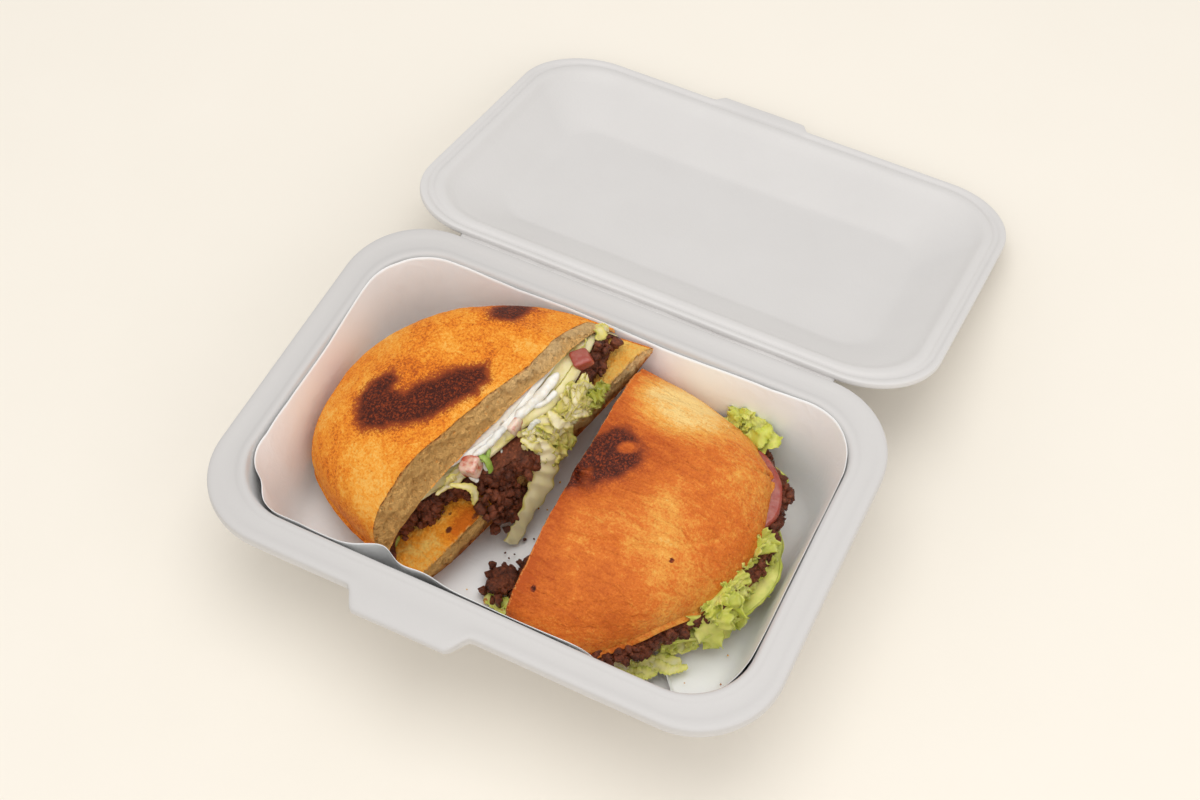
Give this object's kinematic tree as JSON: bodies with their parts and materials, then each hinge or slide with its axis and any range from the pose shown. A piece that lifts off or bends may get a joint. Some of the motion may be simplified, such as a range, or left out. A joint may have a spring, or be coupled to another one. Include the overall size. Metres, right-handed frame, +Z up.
{
  "type": "torta in takeout box",
  "caption": "Cut torta in an open hinged foam takeout box lined with waxed paper; the lid swings shut over the halves.",
  "frame": {"origin": "middle of the tray on its flat underside", "axes": "+X along the hinge, +Y from the front tab to the hinge, +Z up"},
  "size_m": [0.236, 0.3324, 0.064],
  "materials": {
    "foam_box": "white expanded foam, soft satin skin",
    "foam_lid": "white expanded foam, soft satin skin",
    "waxed_paper": "white waxed paper with soft creases",
    "crumb_left": "toasted bread crumb over a browned base",
    "crumb_right": "toasted bread crumb over a browned base",
    "crust_left": "toasted sandy crust with dark scorches",
    "crust_right": "smooth golden crust, slightly glossy",
    "meat_left": "browned chopped meat, moist",
    "meat_right": "browned chopped meat, moist",
    "meat_loose": "browned chopped meat, moist",
    "lettuce_left": "pale shredded lettuce",
    "lettuce_right": "pale shredded lettuce",
    "lettuce_leaf": "a small piece of lettuce leaf",
    "cream": "white cream",
    "tomato_front": "wet tomato dice",
    "tomato_middle": "wet tomato dice",
    "tomato_back": "wet tomato dice",
    "tomato_slice": "wet tomato slice"
  },
  "bodies": {
    "tray": {"tray": "foam_box", "liner": "waxed_paper", "left_bottom_bun": "crumb_left", "right_bottom_bun": "crumb_right", "left_top_bun": "crust_left", "right_top_bun": "crust_right", "left_meat": "meat_left", "right_meat": "meat_right", "loose_meat": "meat_loose", "left_lettuce": "lettuce_left", "right_lettuce": "lettuce_right", "loose_leaf": "lettuce_leaf", "left_cream": "cream", "left_tomato_front": "tomato_front", "left_tomato_middle": "tomato_middle", "left_tomato_back": "tomato_back", "right_tomato_slice": "tomato_slice"},
    "lid": {"lid": "foam_lid"}
  },
  "joints": [
    {"name": "lid_hinge", "type": "hinge", "parent": "tray", "child": "lid", "pos_m": [0, 0.0831, 0.0523], "axis": [1, 0, 0], "range_deg": [0, 196.1]}
  ]
}
